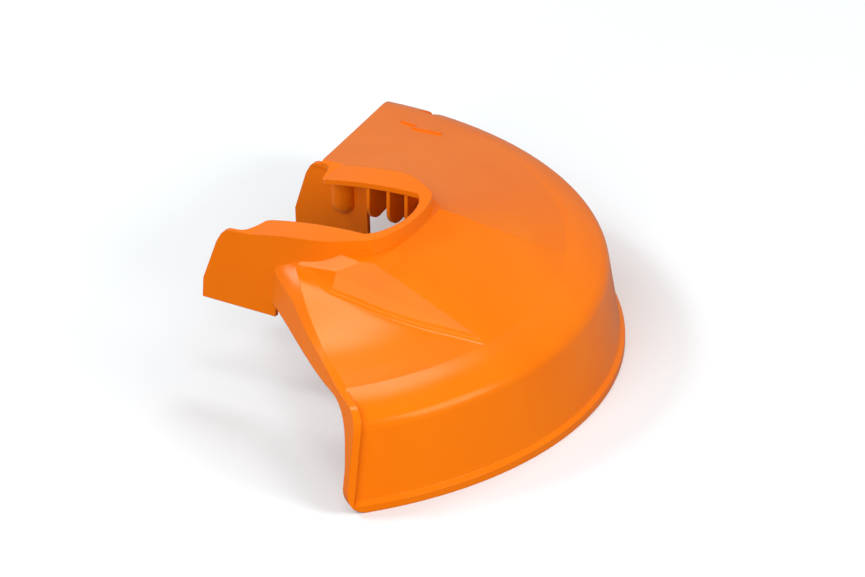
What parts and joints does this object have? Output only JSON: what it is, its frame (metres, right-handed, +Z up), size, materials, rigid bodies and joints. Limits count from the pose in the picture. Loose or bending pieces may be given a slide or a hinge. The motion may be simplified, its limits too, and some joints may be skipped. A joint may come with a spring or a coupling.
{
  "type": "trimmer guard",
  "caption": "Moulded guard of a light grass trimmer: an open half-bowl with a deep skirt and a fork that slides over the shaft housing.",
  "frame": {"origin": "on the floor plane of the rim, on the axis of the cutting head, which is the centre of the round rim", "axes": "+Z up, away from the ground, +X from the open fork towards the closed nose, +Y towards the wing with the arrow"},
  "size_m": [0.1686, 0.2424, 0.0705],
  "materials": {
    "guard_plastic": "moulded, satin"
  },
  "bodies": {
    "root": {"guard": "guard_plastic"}
  },
  "joints": []
}
